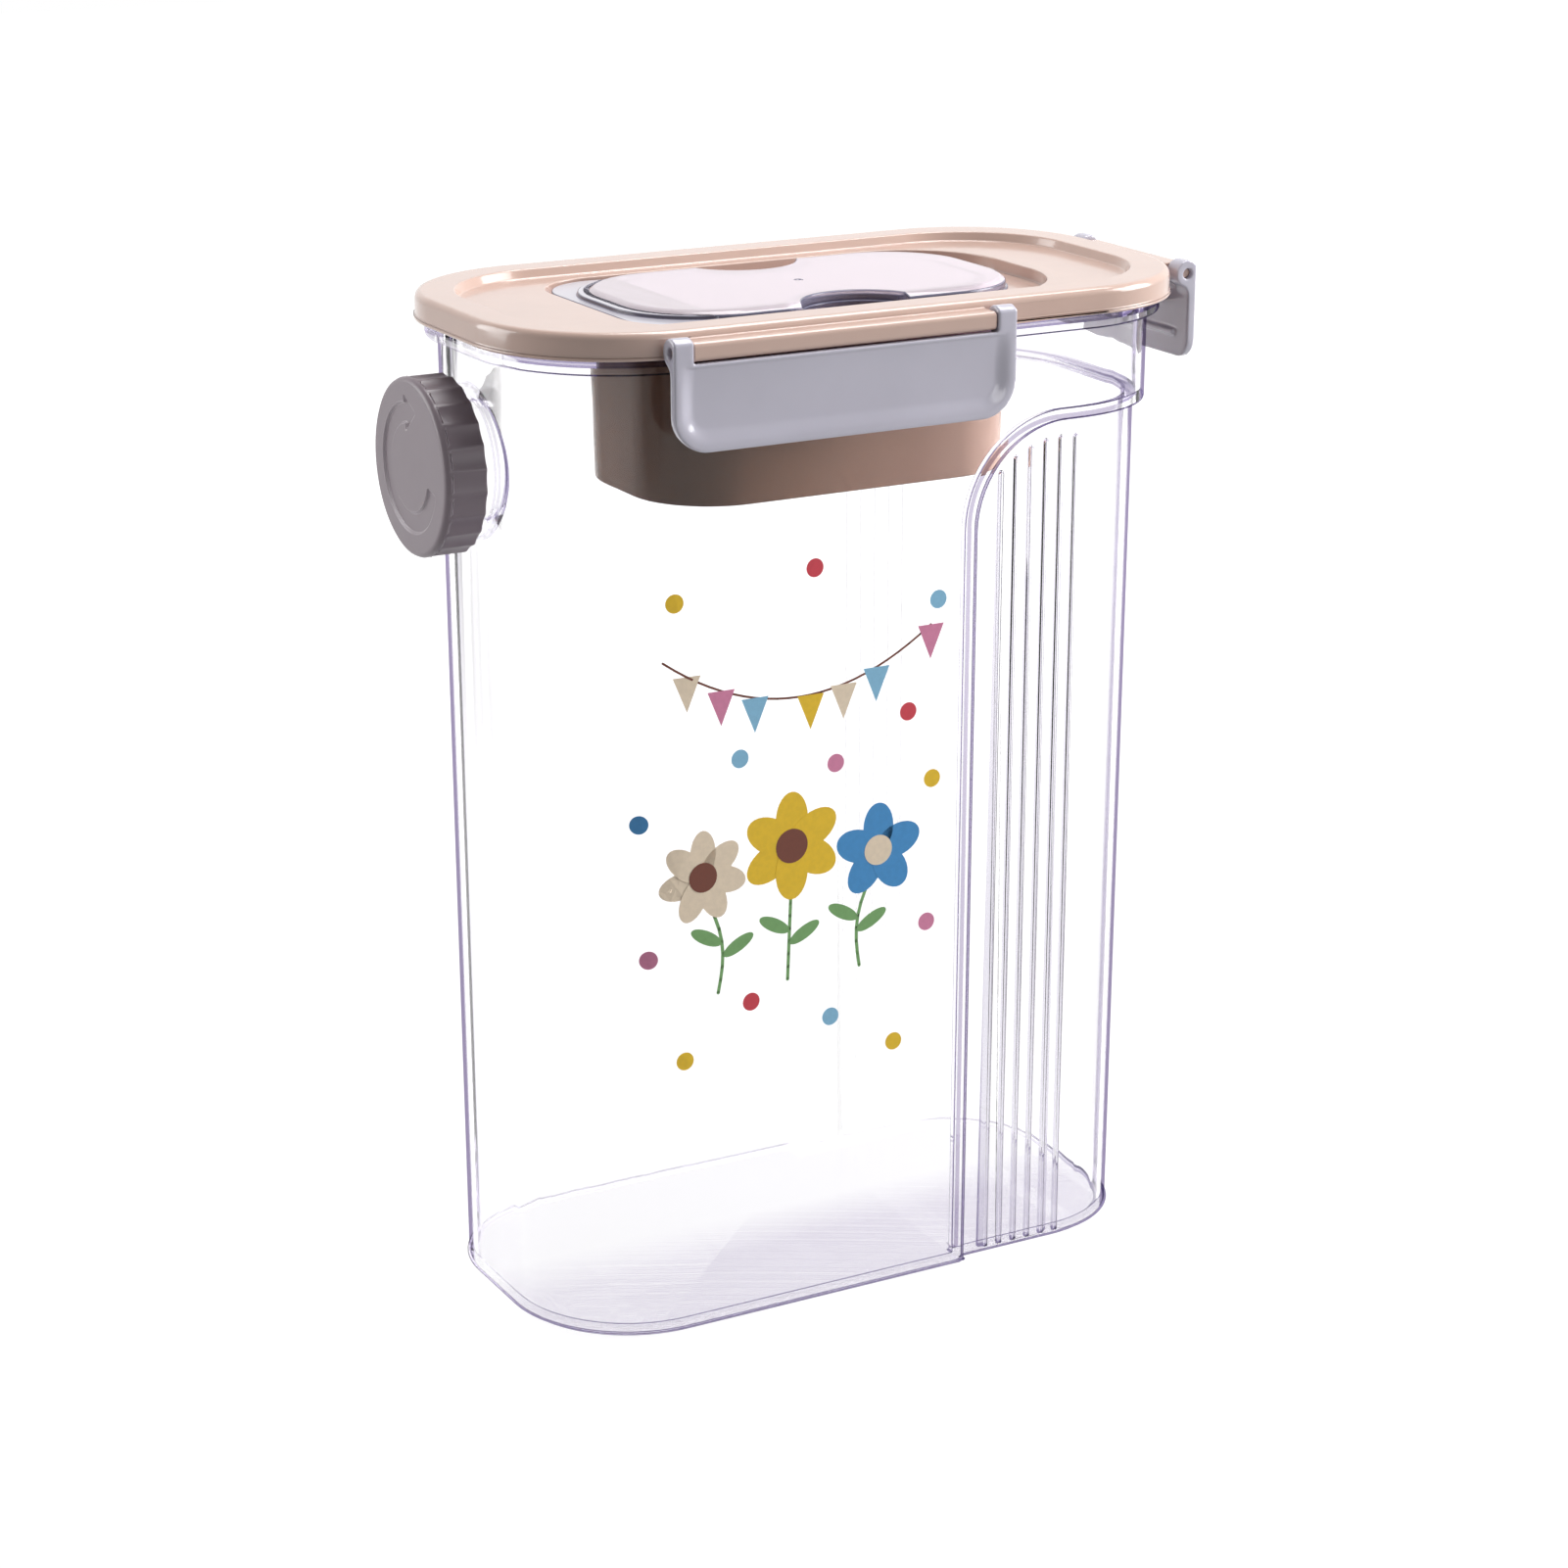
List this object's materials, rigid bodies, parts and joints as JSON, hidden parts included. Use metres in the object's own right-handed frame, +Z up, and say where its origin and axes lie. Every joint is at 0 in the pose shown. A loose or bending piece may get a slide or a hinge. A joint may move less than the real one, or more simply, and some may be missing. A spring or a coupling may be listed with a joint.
{
  "type": "dry food storage container",
  "caption": "Tall clear storage box with a clip-on lid holding a measuring cup, a screw-capped side spout and a ribbed hand-grip recess.",
  "frame": {"origin": "centre of the flat base, on the surface the container stands on", "axes": "+Z up, +X along the long side towards the hand-grip end, with the spout at -X; -Y is the front with the long latch"},
  "size_m": [0.2033, 0.1046, 0.2504],
  "materials": {
    "clear_tank": "clear glossy styrene",
    "lid_beige": "glossy moulded",
    "latch_lavender": "satin moulded",
    "seal_silicone": "translucent silicone",
    "cup_clear": "clear glossy plastic",
    "grip_milky": "milky moulded",
    "cap_mauve": "satin moulded"
  },
  "bodies": {
    "tank": {"tank": "clear_tank"},
    "lid": {"lid": "lid_beige", "lid_seal": "seal_silicone"},
    "latch_front": {"latch_front": "latch_lavender"},
    "latch_right": {"latch_right": "latch_lavender"},
    "cup": {"measuring_cup": "cup_clear", "cup_grip": "grip_milky"},
    "cup_cover": {"cup_cover": "cup_clear"},
    "cap_travel": {"cap_gasket": "seal_silicone"},
    "cap": {"spout_cap": "cap_mauve"}
  },
  "joints": [
    {"name": "latch_front_hinge", "type": "hinge", "parent": "lid", "child": "latch_front", "pos_m": [-0.01725, -0.0526, 0.2463], "axis": [-1, 0, 0], "range_deg": [0, 100]},
    {"name": "latch_right_hinge", "type": "hinge", "parent": "lid", "child": "latch_right", "pos_m": [0.0974, 0, 0.2463], "axis": [0, -1, 0], "range_deg": [0, 100]},
    {"name": "lid_lift", "type": "slide", "parent": "tank", "child": "lid", "axis": [0, 0, 1], "range_m": [0, 0.024]},
    {"name": "cup_lift", "type": "slide", "parent": "lid", "child": "cup", "axis": [0, 0, 1], "range_m": [0, 0.06]},
    {"name": "cover_lift", "type": "slide", "parent": "cup", "child": "cup_cover", "axis": [0, 0, 1], "range_m": [0, 0.03]},
    {"name": "cap_draw", "type": "slide", "parent": "tank", "child": "cap_travel", "axis": [-1, 0, 0], "range_m": [0, 0.012]},
    {"name": "cap_spin", "type": "hinge", "parent": "cap_travel", "child": "cap", "pos_m": [-0.098, 0, 0.2143], "axis": [-1, 0, 0], "range_deg": [0, 900]}
  ],
  "couplings": [
    {"joint": "latch_front_hinge", "follows": "lid_lift", "rad_per_m": 72.7},
    {"joint": "latch_right_hinge", "follows": "lid_lift", "rad_per_m": 72.7},
    {"joint": "cap_draw", "follows": "cap_spin", "m_per_rad": 0.00076}
  ]
}
